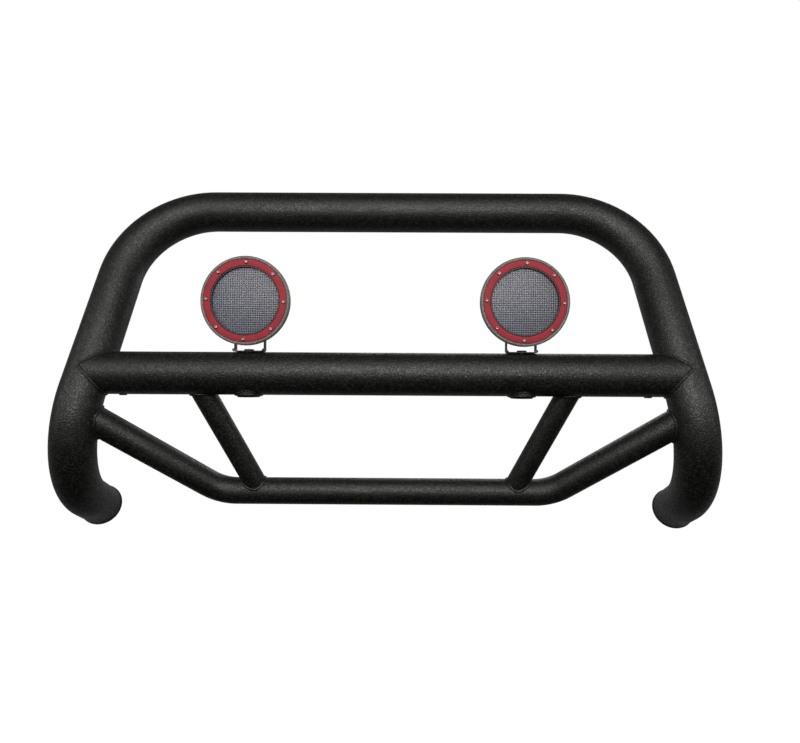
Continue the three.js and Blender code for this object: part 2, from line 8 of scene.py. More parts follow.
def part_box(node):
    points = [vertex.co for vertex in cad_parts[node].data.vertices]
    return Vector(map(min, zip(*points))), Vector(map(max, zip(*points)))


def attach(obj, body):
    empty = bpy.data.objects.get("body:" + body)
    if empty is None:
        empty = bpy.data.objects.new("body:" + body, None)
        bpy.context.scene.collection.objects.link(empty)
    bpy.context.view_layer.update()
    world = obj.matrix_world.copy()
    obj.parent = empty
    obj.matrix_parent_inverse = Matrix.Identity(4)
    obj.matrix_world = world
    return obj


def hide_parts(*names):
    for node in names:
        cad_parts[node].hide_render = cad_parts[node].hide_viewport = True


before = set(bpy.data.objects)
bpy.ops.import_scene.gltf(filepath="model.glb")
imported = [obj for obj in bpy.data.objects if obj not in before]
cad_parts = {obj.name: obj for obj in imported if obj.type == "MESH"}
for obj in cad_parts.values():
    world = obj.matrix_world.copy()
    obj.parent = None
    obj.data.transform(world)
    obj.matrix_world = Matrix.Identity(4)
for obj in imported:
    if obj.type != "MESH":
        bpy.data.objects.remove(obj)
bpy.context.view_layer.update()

# ---- driving dimensions, the same as the CAD's ------------------------------------------------------

MM = 0.001
SIDES = {"left": -1, "right": 1}
HOOP_RADIUS = 38.1
HOOP_BEND = 168
HOOP_CORNERS = [(574, 137, -265), (549, -68, -173), (490, 127, 322)]
CROSSBAR_RADIUS = 38.1
CROSSBAR_REACH = 440
COPE_REACH = {"hoop": 125, "brace": 150}  # how far a tube's end may be pushed to meet its neighbour
LOWER_RADIUS = 25.4
LOWER_BEND = 80
LOWER_CORNERS = [(316, 89, -225.5), (537, -20, -65)]
LOWER_SHARE = 0.7  # of the rise at each end of the lower bar, before it is coped onto the hoop
STRUT_RADIUS = 20.64
STRUT_TOP_X = 343
STRUT_BOTTOM_X = 242.5
STRUT_SHARES = (0.45, 0.55)  # of the way down, where a strut's ends are before they are coped
CAP = {"gap": 0.3, "thickness": 4, "edge": 1.2}
PLATE = {
    "x": 590, "thickness": 8, "length": 62, "half": 24, "corner": 14, "corner_steps": 10, "edge": 0.8,
    "setback": 5.9}
PLATE_HOLE = {"radius": 6.5, "along": (19, 44)}
LIGHT_X = 242
FLANGE = {"radius": 23, "face": 42, "chamfer": 4, "bore": 5.3, "bore_depth": 7, "edge": 0.8}
BUSH = {"radius": 9, "top": 38.1, "edge": 0.6}
GROMMET = {"x": 466, "radius": 6.5, "bore": 2.5, "proud": 1.8, "inside": 3, "edge": 1.0}
BRACKET_BOTTOM = 38.4
BRACKET = {
    "ears": 52.5, "sheet": 2, "bend": 2, "front": -12, "back": 15, "ear": 7, "foot": 4, "slope": 3,
    "top_angle": 86, "ear_steps": 14, "bend_steps": 9, "edge_ratio": 2.2}
TILT_Y = 8
TILT_HEIGHT = 47.6
PAN_HEAD = {"radius": 8.5, "height": 2.4, "bottom": 2.3, "socket": 3, "depth": 1.6, "edge": 0.4}
TILT_HEAD = {"corner": 7.5, "height": 5.3, "seat": 27.8, "turn": 0.3}
LENS_HEIGHT = 40
RIM = {"radius": 77.4, "lip": 72.4, "front": -40, "back": -28, "chamfer": 2}
HOUSING = {
    "well": 57.5, "floor": -16, "ledge": 63.6, "ledge_front": -29.6, "seat_front": -36.7, "edge": 1.0}
HOUSING_BACK = [(64, -25), (61, -14), (52, -12)]  # (radius, y) from the rim backwards
PIVOT = {"radius": 9, "half": 24.6, "web_front": -13, "web_drop": 4.5, "edge": 0.8}
GLAND = [(3.2, -15.7), (4.5, -15.7), (4.5, -11.7), (8, -11.7), (8, -5), (6, -5), (6, 4), (3.2, 4)]
RED_RING = [(60.3, -40), (72, -40), (72, -37), (60.3, -37)]
BEZEL = [(57.8, -39.4), (60, -39.4), (60, -36.7), (63, -36.7), (63, -35.2), (57.8, -35.2)]
RING_EDGES = {"gland": 0.7, "red": 0.9, "bezel": 0.5}
SCREWS = {
    "count": 8, "circle": 66.8, "first": 88.1, "head": 3.3, "top": 2.3, "height": 2, "crown": 1,
    "socket": 1.3, "socket_depth": 1.2, "sunk": 0.3, "core": 0.3, "shank": 1.6, "length": 9,
    "edge": 0.25, "edge_steps": 2}
LENS = {"radius": 61, "front": -34.9, "back": -31.9, "crown": 2.6, "crown_radius": 56.8}
LENS_CELL = {"pitch": 3.9, "depth": 0.35, "steps": 4, "power": 0.6}
FINS = {
    "half": 1.3, "offsets": (13.5, 22.5, 31.5, 40), "front": -13, "depth": 8, "radius": 49.5,
    "bottom": -26, "edge": 0.5}
WELD = {
    "radius": 2.8, "cap_radius": 1.8, "bush_radius": 2.0, "pitch": 4.2, "steps": 6, "sides": 10,
    "ripple": 0.05}
ROUND = 96  # sides of a large round; smaller ones are below
ROUNDS = {"bush": 64, "bolt": 72, "small": 48, "screw": 24}
CORE = 0.5  # radius at which the profile of a closed round piece starts
SUNK = 1.5  # how far a coped end runs into its neighbour
SHARP_ANGLE = 35.0  # edges bent by more than this many degrees look sharp
CORNER_SHARE = 0.45  # the most of a side that a rounded corner may take
SMALLEST = 0.01
FIRST_SIDE = (0.1, 0.2, 1.0)  # along none of the tubes

low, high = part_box("cross_tube")
ORIGIN = np.array((low + high) / 2)


# ---- mesh helpers -------------------------------------------------------------------------------------

def unit(vectors):
    """The same vectors with length 1."""
    vectors = np.asarray(vectors, float)
    return vectors / np.linalg.norm(vectors, axis=-1, keepdims=True)


def add_piece(name, points, faces, body, nodes, material):
    """One visible piece from millimetre points, riding on a CAD body and standing for CAD nodes."""
    mesh = bpy.data.meshes.new(name)
    mesh.from_pydata((np.asarray(points, float) * MM + ORIGIN).tolist(), [], faces)
    mesh.update()
    mesh.shade_smooth()
    mesh.set_sharp_from_angle(angle=math.radians(SHARP_ANGLE))
    mesh.materials.append(FINISHES[material])
    piece = bpy.data.objects.new(name, mesh)
    bpy.context.scene.collection.objects.link(piece)
    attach(piece, body)
    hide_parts(*nodes)


def merged(shapes):
    """Several (points, faces) shapes as one."""
    points, faces, start = [], [], 0
    for shape_points, shape_faces in shapes:
        points.append(np.asarray(shape_points, float))
        faces += [[i + start for i in face] for face in shape_faces]
        start += len(shape_points)
    return np.vstack(points), faces


def skin(rings, closed=False, caps=True):
    """Shape through rings of equally many points. Its ends are capped unless it closes on itself."""
    count, sides = len(rings), len(rings[0])
    faces = []
    for i in range(count if closed else count - 1):
        here, after = i * sides, (i + 1) % count * sides
        for k in range(sides):
            k2 = (k + 1) % sides
            faces.append([here + k, here + k2, after + k2, after + k])
    if caps and not closed:
        faces.append(list(range(sides))[::-1])
        faces.append([(count - 1) * sides + k for k in range(sides)])
    return np.vstack(rings), faces


def rounded(outline, radius, steps=4, closed=False):
    """A 2-D outline with its corners rounded, as far as the sides beside them leave room."""
    outline = [np.array(p, float) for p in outline]
    last = len(outline) - 1
    result = []
    for i, corner in enumerate(outline):
        if not closed and i in (0, last):
            result.append(corner)
            continue
        before, after = outline[i - 1] - corner, outline[(i + 1) % len(outline)] - corner
        room = CORNER_SHARE * min(np.linalg.norm(before), np.linalg.norm(after))
        half = math.acos(max(-1.0, min(1.0, float(unit(before) @ unit(after))))) / 2
        back = min(radius / max(math.tan(half), SMALLEST), room)
        start, end = corner + unit(before) * back, corner + unit(after) * back
        for j in range(steps + 1):
            t = j / steps
            result.append((1 - t) ** 2 * start + 2 * t * (1 - t) * corner + t ** 2 * end)
    return result


def turned(profile, sides=ROUND, axis="Y", hexagon=0.0):
    """Shape turned from (radius, along) points. Points up to the hexagon's radius follow its flats."""
    angles = np.arange(sides) * 2 * math.pi / sides
    sixth = math.pi / 3
    flats = 1 / np.cos(np.mod(angles, sixth) - sixth / 2)
    rings = []
    for radius, along in profile:
        radii = radius * flats if radius <= hexagon else np.full(sides, radius)
        x, y = radii * np.cos(angles), radii * np.sin(angles)
        if axis == "Y":
            rings.append(np.column_stack([x, np.full(sides, along), y]))
        else:
            rings.append(np.column_stack([x, y, np.full(sides, along)]))
    return rings


def solid_of(rings):
    """Rings as a closed solid: around a hole if they end where they start, else capped."""
    if np.allclose(rings[0], rings[-1]):
        return skin(rings[:-1], closed=True)
    return skin(rings)


def turned_ring(outline, edge, sides=ROUND, axis="Y"):
    """Solid ring turned from a closed (radius, along) outline."""
    outline = rounded(outline, edge, closed=True)
    return solid_of(turned([*outline, outline[0]], sides, axis))


def moved(shape, offset):
    """The same shape, shifted."""
    return shape[0] + np.array(offset, float), shape[1]


def bent_path(corners, bend_radius, steps=24):
    """Points along a bent tube's centre line: straight between its corners, with an arc at each."""
    corners = [np.array(c, float) for c in corners]
    points = [corners[0]]
    for before, corner, after in zip(corners, corners[1:], corners[2:]):
        into, out = unit(corner - before), unit(after - corner)
        turn = math.acos(float(into @ out))
        start = corner - into * bend_radius * math.tan(turn / 2)
        inward = unit(out - into * (out @ into))
        centre = start + inward * bend_radius
        for angle in np.linspace(0, turn, steps + 1):
            arm = into * bend_radius * math.sin(angle)
            points.append(centre - inward * bend_radius * math.cos(angle) + arm)
    points.append(corners[-1])
    return np.array(points)


def tube_rings(path, radius, sides=ROUND):
    """Rings square to a path, carried along it without twist."""
    tangents = unit(np.gradient(path, axis=0))
    tangents[0] = unit(path[1] - path[0])
    tangents[-1] = unit(path[-1] - path[-2])
    side = unit(np.cross(tangents[0], FIRST_SIDE))
    angles = np.arange(sides) * 2 * math.pi / sides
    rings = []
    for point, tangent in zip(path, tangents):
        side = unit(side - tangent * (side @ tangent))
        up = np.cross(tangent, side)
        rings.append(point + radius * (np.outer(np.cos(angles), side) + np.outer(np.sin(angles), up)))
    return rings


def distance_to(points, path):
    """Distance of each point from a path of straight pieces."""
    starts, spans = path[:-1], path[1:] - path[:-1]
    offsets = points[:, None, :] - starts[None]
    along = np.clip((offsets * spans).sum(-1) / (spans ** 2).sum(-1), 0, 1)
    nearest = offsets - along[..., None] * spans[None]
    return np.sqrt((nearest ** 2).sum(-1)).min(1)


def coped(ring, direction, other_path, other_radius, reach, halvings=18):
    """A tube's end ring pushed along its direction until each point meets the other tube's surface."""
    direction = unit(direction)
    steps = np.arange(0, reach, 1.0)
    gaps = np.array([distance_to(ring + direction * s, other_path) for s in steps]) - other_radius
    hit = gaps <= 0
    first = np.where(hit.any(0), hit.argmax(0), gaps.argmin(0))
    near, far = steps[np.maximum(first - 1, 0)].copy(), steps[first].copy()
    for _ in range(halvings):
        middle = (near + far) / 2
        inside = distance_to(ring + direction * middle[:, None], other_path) < other_radius
        far = np.where(inside, middle, far)
        near = np.where(inside, near, middle)
    return ring + direction * far[:, None]


def weld_bead(loop, radius=WELD["radius"]):
    """Rippled bead along a closed loop of points where two pieces meet."""
    closed = np.vstack([loop, loop[:1]])
    along = np.concatenate([[0], np.cumsum(np.linalg.norm(np.diff(closed, axis=0), axis=1))])
    count = int(along[-1] / WELD["pitch"]) * WELD["steps"]
    places = np.arange(count) * along[-1] / count
    path = np.column_stack([np.interp(places, along, closed[:, i]) for i in range(3)])
    tangents = unit(np.roll(path, -1, 0) - np.roll(path, 1, 0))
    outward = unit(path - path.mean(0))
    outward = unit(outward - tangents * (outward * tangents).sum(1, keepdims=True))
    across = np.cross(tangents, outward)
    angles = np.arange(WELD["sides"]) * 2 * math.pi / WELD["sides"]
    rings = []
    for i in range(count):
        swell = 1 + WELD["ripple"] * math.cos(2 * math.pi * i / WELD["steps"])
        spokes = np.outer(np.cos(angles), outward[i]) + np.outer(np.sin(angles), across[i])
        rings.append(path[i] + radius * swell * spokes)
    return skin(rings, closed=True)


def plate(outlines, half, edge):
    """Flat shape with holes and rounded edges, lying in XY. The first outline is the outer one."""
    curve = bpy.data.curves.new("outline", "CURVE")
    curve.dimensions = "2D"
    curve.fill_mode = "BOTH"
    curve.extrude = half - edge
    curve.bevel_depth = edge
    curve.bevel_resolution = 3
    curve.offset = -edge
    for outline in outlines:
        spline = curve.splines.new("POLY")
        spline.points.add(len(outline) - 1)
        spline.use_cyclic_u = True
        for point, (x, y) in zip(spline.points, outline):
            point.co = (x, y, 0, 1)
    holder = bpy.data.objects.new("outline", curve)
    mesh = holder.to_mesh()
    points = [v.co.copy() for v in mesh.vertices]
    faces = [list(p.vertices) for p in mesh.polygons]
    holder.to_mesh_clear()
    bpy.data.objects.remove(holder)
    bpy.data.curves.remove(curve)
    return np.array(points), faces


def circle(radius, centre, sides=ROUNDS["small"]):
    angles = np.arange(sides) * 2 * math.pi / sides
    return [(centre[0] + radius * math.cos(a), centre[1] + radius * math.sin(a)) for a in angles]


def aimed(shape, direction, at, turn=0.0):
    """A shape made around Z, with Z turned to a direction and then moved."""
    points, faces = shape
    matrix = Vector((0, 0, 1)).rotation_difference(Vector(direction)).to_matrix()
    matrix = matrix @ Matrix.Rotation(turn, 3, "Z")
    return points @ np.array(matrix).T + np.array(at, float), faces


def block(low, high, edge):
    """Box with rounded upright corners and softened ends."""
    def outline(inset, height):
        x0, y0 = low[0] + inset, low[1] + inset
        x1, y1 = high[0] - inset, high[1] - inset
        corners = rounded([(x0, y0), (x1, y0), (x1, y1), (x0, y1)], edge, closed=True)
        return np.array([(x, y, height) for x, y in corners])
    rings = [
        outline(edge, low[2]),
        outline(0, low[2] + edge),
        outline(0, high[2] - edge),
        outline(edge, high[2]),
    ]
    return skin(rings)


def hex_head(corner, height, sides=ROUNDS["bolt"], chamfer=30.0, face=0.93):
    """Hexagon head on Z, from height 0 up, with its top corners turned off."""
    angles = np.arange(sides) * 2 * math.pi / sides
    sixth = math.pi / 3
    flat = corner * math.cos(math.pi / 6)
    radii = flat / np.cos(np.mod(angles, sixth) - sixth / 2)

    def ring(r, z):
        return np.column_stack([r * np.cos(angles), r * np.sin(angles), z + 0 * r])

    drop = (radii - face * flat) * math.tan(math.radians(chamfer))
    return skin([ring(radii, 0.0), ring(radii, height - drop), ring(face * flat + 0 * radii, height)])


def flange_loop():
    """Where the wall of a bush's flange meets the underside of the crossbar."""
    wall = turned([(FLANGE["radius"], 0)], axis="Z")[0]
    wall[:, 2] = -np.sqrt(CROSSBAR_RADIUS ** 2 - wall[:, 1] ** 2)
    return wall


def bush_flange():
    """Round flange under the crossbar, flat below with a bolt hole, and following the tube above."""
    radius, face, chamfer, bore = (FLANGE[key] for key in ("radius", "face", "chamfer", "bore"))
    profile = [(bore, FLANGE["bore_depth"] - face), (bore, -face), (radius - chamfer, -face),
               (radius, chamfer - face), (radius, 0)]
    rings = turned(rounded(profile, FLANGE["edge"])[:-1], axis="Z")
    rings.append(flange_loop() + (0, 0, SUNK))
    points, faces = skin(rings)
    return points, [face[::-1] for face in faces]


# ---- finishes -----------------------------------------------------------------------------------------

MIX_INPUTS = (0, 6, 7)  # a colour mix's factor and its two colours
MIX_OUTPUT = 2


class Finish:
    """A Principled material under construction, with textures in the object's own space."""

    def __init__(self, name, specular=0.5, metallic=0.0, transmission=0.0):
        self.material = bpy.data.materials.new(name)
        self.material.use_nodes = True
        self.tree = self.material.node_tree
        self.shader = self.tree.nodes["Principled BSDF"]
        self.place = self.add("ShaderNodeTexCoord").outputs["Object"]
        self.shader.inputs["Specular IOR Level"].default_value = specular
        self.shader.inputs["Metallic"].default_value = metallic
        self.shader.inputs["Transmission Weight"].default_value = transmission

    def add(self, kind, **settings):
        made = self.tree.nodes.new(kind)
        for key, value in settings.items():
            setattr(made, key, value)
        return made

    def feed(self, socket, value):
        if isinstance(value, bpy.types.NodeSocket):
            self.tree.links.new(value, socket)
        else:
            socket.default_value = value

    def noise(self, size, detail=3.0, roughness=0.55):
        made = self.add("ShaderNodeTexNoise")
        self.feed(made.inputs["Vector"], self.place)
        made.inputs["Scale"].default_value = 1 / (size * MM)
        made.inputs["Detail"].default_value = detail
        made.inputs["Roughness"].default_value = roughness
        return made.outputs["Fac"]

    def cells(self, size, output="Distance"):
        made = self.add("ShaderNodeTexVoronoi")
        self.feed(made.inputs["Vector"], self.place)
        made.inputs["Scale"].default_value = 1 / (size * MM)
        return made.outputs[output]

    def math(self, operation, *values):
        made = self.add("ShaderNodeMath", operation=operation)
        for socket, value in zip(made.inputs, values):
            self.feed(socket, value)
        return made.outputs[0]

    def spread(self, value, start, end, low, high):
        """A value from start to end becomes one from low to high."""
        made = self.add("ShaderNodeMapRange")
        for socket, given in zip(made.inputs, (value, start, end, low, high)):
            self.feed(socket, given)
        return made.outputs["Result"]

    def blend(self, share, first, second):
        """Colour that goes from the first to the second as share goes from 0 to 1."""
        made = self.add("ShaderNodeMix", data_type="RGBA")
        factor, colour_a, colour_b = (made.inputs[i] for i in MIX_INPUTS)
        for socket, value in ((factor, share), (colour_a, first), (colour_b, second)):
            if isinstance(value, tuple):
                value = (*value, 1.0)
            self.feed(socket, value)
        return made.outputs[MIX_OUTPUT]

    def bump(self, *layers):
        """Relief from (value, height in mm) layers, one on top of another."""
        normal = None
        for value, height in layers:
            made = self.add("ShaderNodeBump")
            made.inputs["Distance"].default_value = height * MM
            self.feed(made.inputs["Height"], value)
            if normal:
                self.feed(made.inputs["Normal"], normal)
            normal = made.outputs["Normal"]
        self.feed(self.shader.inputs["Normal"], normal)

    def surface(self, colour, roughness):
        self.feed(self.shader.inputs["Base Color"], colour)
        self.feed(self.shader.inputs["Roughness"], roughness)
        return self.material


# Each (start, end, low, high) turns a texture's value into a share.
COAT = {
    "broad": 25, "mottle": (0.75, 1.3, 0.0, 1.0), "fleck": (0.58, 0.78, 0.0, 1.0),
    "rubbed": (0.66, 0.74, 0.0, 0.6), "rubbed_size": 6, "rough": (0.6, 1.4), "crumb_size": 1.3,
    "crumb_relief": 0.5}
METAL = {
    "streak_size": 1.2, "broad_size": 9.0, "broad": (0.35, 0.65, 0.0, 1.0),
    "marks": (0.55, 0.7, 0.0, 0.35), "rough": (0.7, 1.3), "relief": 0.03}


def coating(name, dark, light, roughness, grain, relief, fleck=None, wear=None, **shader):
    """Painted or moulded surface: blotches, grain, flecks, worn specks and relief."""
    made = Finish(name, **shader)
    fine = made.noise(grain, detail=3.0)
    broad = made.noise(grain * COAT["broad"], detail=2.0)
    mottle = made.spread(made.math("ADD", fine, broad), *COAT["mottle"])
    colour = made.blend(mottle, dark, light)
    crumbs = made.cells(grain, "Color")
    if fleck:
        colour = made.blend(made.spread(crumbs, *COAT["fleck"]), colour, fleck)
    if wear:
        worn = made.noise(grain * COAT["rubbed_size"], detail=8.0, roughness=0.75)
        colour = made.blend(made.spread(worn, *COAT["rubbed"]), colour, wear)
    rough = made.spread(made.math("ADD", crumbs, broad), *COAT["rough"], *roughness)
    small = made.cells(grain * COAT["crumb_size"])
    made.bump((fine, relief), (small, relief * COAT["crumb_relief"]))
    return made.surface(colour, rough)


def machined(name, dark, light, roughness):
    """Plated or bright metal with faint streaks and handling marks."""
    made = Finish(name, metallic=1.0)
    streaks = made.noise(METAL["streak_size"], detail=6.0, roughness=0.7)
    broad = made.noise(METAL["broad_size"], detail=3.0)
    colour = made.blend(made.spread(broad, *METAL["broad"]), dark, light)
    colour = made.blend(made.spread(streaks, *METAL["marks"]), colour, dark)
    rough = made.spread(made.math("ADD", streaks, broad), *METAL["rough"], *roughness)
    made.bump((streaks, METAL["relief"]))
    return made.surface(colour, rough)


# The lens colour is painted reflection of the reflector and LED board behind clear glass. Its pale lines
# are painted highlights, and "slope" is painted light on one side.
LENS_LOOK = {
    "line": (0.3, 0.8), "painted_glint_share": 0.75, "painted_glint_colour": (0.30, 0.31, 0.37),
    "dark": (0.006, 0.006, 0.012), "pale": (0.055, 0.058, 0.085), "milky": (0.09, 0.092, 0.115),
    "patch_size": 16.0, "patch_share": 0.35, "slope": (0.65, 0.1), "broad": (0.2, 0.85, 0.0, 1.0),
    "fine_size": 1.1, "haze": (0.45, 0.75, 0.0, 0.5), "rough": (0.3, 0.7, 0.16, 0.34), "relief": 0.05}
LIGHT_AXIS_Z = float(ORIGIN[2]) + (BRACKET_BOTTOM + TILT_HEIGHT + LENS_HEIGHT) * MM


def lens_finish():
    """Moulded lens in painted reflection: painted-highlight pale lines between small darker cells, with
    painted light making one side (-X) paler than the other.
    """
    made = Finish("lens_glass", specular=0.3, transmission=0.2)
    split = made.add("ShaderNodeSeparateXYZ")
    made.feed(split.inputs[0], made.place)
    from_middle = made.math("SUBTRACT", made.math("ABSOLUTE", split.outputs["X"]), LIGHT_X * MM)
    across = made.math("MULTIPLY", from_middle, made.math("SIGN", split.outputs["X"]))
    upward = made.math("SUBTRACT", split.outputs["Z"], LIGHT_AXIS_Z)
    line_start, line_end = LENS_LOOK["line"]
    grid = []
    for value in (across, upward):
        part = made.math("PINGPONG", value, LENS_CELL["pitch"] * MM / 2)
        grid.append(made.spread(part, line_start * MM, line_end * MM, 1.0, 0.0))
    lines = made.math("MAXIMUM", *grid)
    fine = made.noise(LENS_LOOK["fine_size"], detail=4.0)
    patches = made.noise(LENS_LOOK["patch_size"], detail=2.0)
    patches = made.math("MULTIPLY", patches, LENS_LOOK["patch_share"])
    # painted light: each lens paler towards its -X side
    slope = made.spread(across, -LENS["radius"] * MM, LENS["radius"] * MM, *LENS_LOOK["slope"])
    broad = made.spread(made.math("ADD", patches, slope), *LENS_LOOK["broad"])
    cell = made.blend(broad, LENS_LOOK["dark"], LENS_LOOK["pale"])
    cell = made.blend(made.spread(fine, *LENS_LOOK["haze"]), cell, LENS_LOOK["milky"])
    # painted highlights along the cell edges, in the pale line colour
    painted_glint_share = made.math("MULTIPLY", lines, LENS_LOOK["painted_glint_share"])
    colour = made.blend(painted_glint_share, cell, LENS_LOOK["painted_glint_colour"])
    made.bump((fine, LENS_LOOK["relief"]))
    return made.surface(colour, made.spread(fine, *LENS_LOOK["rough"]))


FINISHES = {
    # The powder coat's light flecks are partly random tone of its grain and partly painted sparkle, glints
    # of its rough surface put into its colour.
    "powder_coat": coating(
        "powder_coat", (0.0008, 0.0009, 0.0006), (0.003, 0.0031, 0.0022), (0.56, 0.32), grain=2.4,
        relief=0.62, fleck=(0.022, 0.022, 0.018), wear=(0.011, 0.011, 0.009)),
    "bracket_black": coating(
        "bracket_black", (0.010, 0.010, 0.010), (0.019, 0.019, 0.018), (0.34, 0.48), grain=0.9,
        relief=0.04, wear=(0.05, 0.05, 0.05)),
    "cast_grey": coating(
        "cast_grey", (0.085, 0.085, 0.078), (0.15, 0.15, 0.137), (0.42, 0.58), grain=1.4,
        relief=0.09, fleck=(0.24, 0.24, 0.22), wear=(0.2, 0.2, 0.185)),
    "bezel_black": coating(
        "bezel_black", (0.005, 0.005, 0.006), (0.011, 0.011, 0.012), (0.35, 0.5), grain=0.8,
        relief=0.03, wear=(0.03, 0.03, 0.032)),
    "red_trim": coating(
        "red_trim", (0.26, 0.012, 0.024), (0.36, 0.022, 0.038), (0.45, 0.6), grain=1.0,
        relief=0.05, wear=(0.18, 0.03, 0.035), specular=0.25),
    "rubber": coating(
        "rubber", (0.010, 0.010, 0.010), (0.020, 0.020, 0.020), (0.72, 0.9), grain=0.7,
        relief=0.05, wear=(0.045, 0.044, 0.042)),
    "led_board": coating(
        "led_board", (0.62, 0.61, 0.56), (0.74, 0.73, 0.68), (0.4, 0.6), grain=1.5,
        relief=0.03, wear=(0.48, 0.45, 0.37)),
    "black_bolt": coating(
        "black_bolt", (0.018, 0.018, 0.020), (0.035, 0.035, 0.038), (0.32, 0.5), grain=0.8,
        relief=0.04, wear=(0.11, 0.11, 0.11), metallic=0.6),
    # The bright screws' pink tint is painted reflection of the red trim ring around them.
    "bright_screw": machined("bright_screw", (0.28, 0.17, 0.18), (0.42, 0.29, 0.29), (0.36, 0.52)),
    "reflector_chrome": machined("reflector_chrome", (0.62, 0.63, 0.66), (0.78, 0.79, 0.82), (0.10, 0.22)),
    "lens_glass": lens_finish(),
}


# ---- tubes --------------------------------------------------------------------------------------------

def mirror(point, side):
    """A point of the right side, or its mirror image for the left."""
    return (side * point[0], point[1], point[2])


hoop_path = bent_path(
    [mirror(p, -1) for p in HOOP_CORNERS] + HOOP_CORNERS[::-1], HOOP_BEND)
hoop_rings = tube_rings(hoop_path, HOOP_RADIUS)
crossbar_path = np.array([(-CROSSBAR_REACH, 0, 0), (CROSSBAR_REACH, 0, 0)], float)
lower_corner, lower_end = (np.array(p, float) for p in LOWER_CORNERS)
lower_stop = lower_corner + (lower_end - lower_corner) * LOWER_SHARE
lower_path = bent_path(
    [mirror(lower_stop, -1), mirror(lower_corner, -1), lower_corner, lower_stop], LOWER_BEND)


def coped_tube(name, path, radius, ends, nodes):
    """Tube whose ends are cut to other tubes. Ends are (path, radius, reach) of each neighbour."""
    rings = tube_rings(path, radius)
    outward = [unit(path[0] - path[1]), unit(path[-1] - path[-2])]
    loops = [coped(ring, way, *end) for ring, way, end in zip((rings[0], rings[-1]), outward, ends)]
    tips = [loop + way * SUNK for loop, way in zip(loops, outward)]
    points, faces = skin([tips[0], *rings, tips[1]])
    add_piece(f"{name}_tube", points, faces, "frame", nodes, "powder_coat")
    for end, loop in zip(("a", "b"), loops):
        add_piece(f"{name}_weld_{end}", *weld_bead(loop), "frame", [], "powder_coat")


add_piece("hoop_tube", *skin(hoop_rings), "frame", ["main_hoop"], "powder_coat")
onto_hoop = (hoop_path, HOOP_RADIUS, COPE_REACH["hoop"])
coped_tube("crossbar", crossbar_path, CROSSBAR_RADIUS, (onto_hoop, onto_hoop), ["cross_tube"])
coped_tube("lower_bar", lower_path, LOWER_RADIUS, (onto_hoop, onto_hoop), ["lower_tube"])
for side_name, side in SIDES.items():
    top = np.array([side * STRUT_TOP_X, 0, 0], float)
    bottom = np.array([side * STRUT_BOTTOM_X, lower_corner[1], lower_corner[2]])
    middle = np.array([top * (1 - share) + bottom * share for share in STRUT_SHARES])
    reach = COPE_REACH["brace"]
    ends = ((crossbar_path, CROSSBAR_RADIUS, reach), (lower_path, LOWER_RADIUS, reach))
    coped_tube(f"{side_name}_brace", middle, STRUT_RADIUS, ends, [f"{side_name}_strut"])


def add_leg_end(name, side):
    """Cap, its weld, and the bolted plate at the end of one leg."""
    end = np.array(mirror(HOOP_CORNERS[0], side), float)
    leg = unit(end - np.array(mirror(HOOP_CORNERS[1], side), float))
    back = CAP["gap"] + CAP["thickness"]
    profile = rounded([(CORE, 0), (HOOP_RADIUS, 0), (HOOP_RADIUS, back), (CORE, back)], CAP["edge"])
    cap = aimed(solid_of(turned(profile, axis="Z")), leg, end)
    add_piece(f"{name}_leg_end_cap", *cap, "frame", [f"{name}_leg_cap"], "powder_coat")
    loop = hoop_rings[0] if side < 0 else hoop_rings[-1]
    add_piece(f"{name}_leg_end_weld", *weld_bead(loop, WELD["cap_radius"]), "frame", [], "powder_coat")

    length, half, corner = PLATE["length"], PLATE["half"], PLATE["corner"]
    outline = [(0, -half), (length, -half), (length, half), (0, half)]
    outline = rounded(outline, corner, PLATE["corner_steps"], closed=True)
    holes = [circle(PLATE_HOLE["radius"], (a, 0)) for a in PLATE_HOLE["along"]]
    points, faces = plate([outline, *holes], PLATE["thickness"] / 2, PLATE["edge"])
    along = unit(leg * (0, 1, 1))
    normal = np.array([side, 0, 0], float)
    across = np.cross(normal, along)
    start = end + leg * PLATE["setback"]
    start[0] = side * PLATE["x"]
    points = points @ np.array([along, across, normal]) + start
    add_piece(f"{name}_leg_mount_plate", points, faces, "frame", [f"{name}_leg_plate"], "powder_coat")


# ---- light mounts -------------------------------------------------------------------------------------

def add_mount(name, side):
    """Bush with its flange, wire grommet and pan bolt at one end of the crossbar."""
    at = (side * LIGHT_X, 0, 0)
    radius, top = BUSH["radius"], BUSH["top"]
    barrel = rounded([(CORE, 0), (radius, 0), (radius, top), (CORE, top)], BUSH["edge"])
    bush = merged([bush_flange(), solid_of(turned(barrel, ROUNDS["bush"], axis="Z"))])
    add_piece(f"{name}_bush", *moved(bush, at), "frame", [f"{name}_light_bush"], "powder_coat")
    bead = weld_bead(flange_loop(), WELD["bush_radius"])
    add_piece(f"{name}_bush_weld", *moved(bead, at), "frame", [], "powder_coat")

    bore, radius = GROMMET["bore"], GROMMET["radius"]
    low = -CROSSBAR_RADIUS - GROMMET["proud"]
    top = low + GROMMET["proud"] + GROMMET["inside"]
    outline = [(bore, low), (radius, low), (radius, top), (bore, top)]
    grommet = turned_ring(outline, GROMMET["edge"], ROUNDS["small"], axis="Z")
    place = (side * GROMMET["x"], 0, 0)
    add_piece(f"{name}_grommet", *moved(grommet, place), "frame", [f"{name}_wire_grommet"], "rubber")

    radius, height = PAN_HEAD["radius"], PAN_HEAD["height"]
    socket, floor = PAN_HEAD["socket"], PAN_HEAD["height"] - PAN_HEAD["depth"]
    profile = [(CORE, floor), (socket, floor), (socket, height), (radius, height), (radius, 0), (CORE, 0)]
    profile = rounded(profile, PAN_HEAD["edge"])
    head = solid_of(turned(profile, ROUNDS["bolt"], axis="Z", hexagon=socket))
    place = (side * LIGHT_X, 0, BRACKET_BOTTOM + PAN_HEAD["bottom"])
    add_piece(f"{name}_pan_bolt_head", *moved(head, place), "frame", [f"{name}_pan_bolt"], "black_bolt")


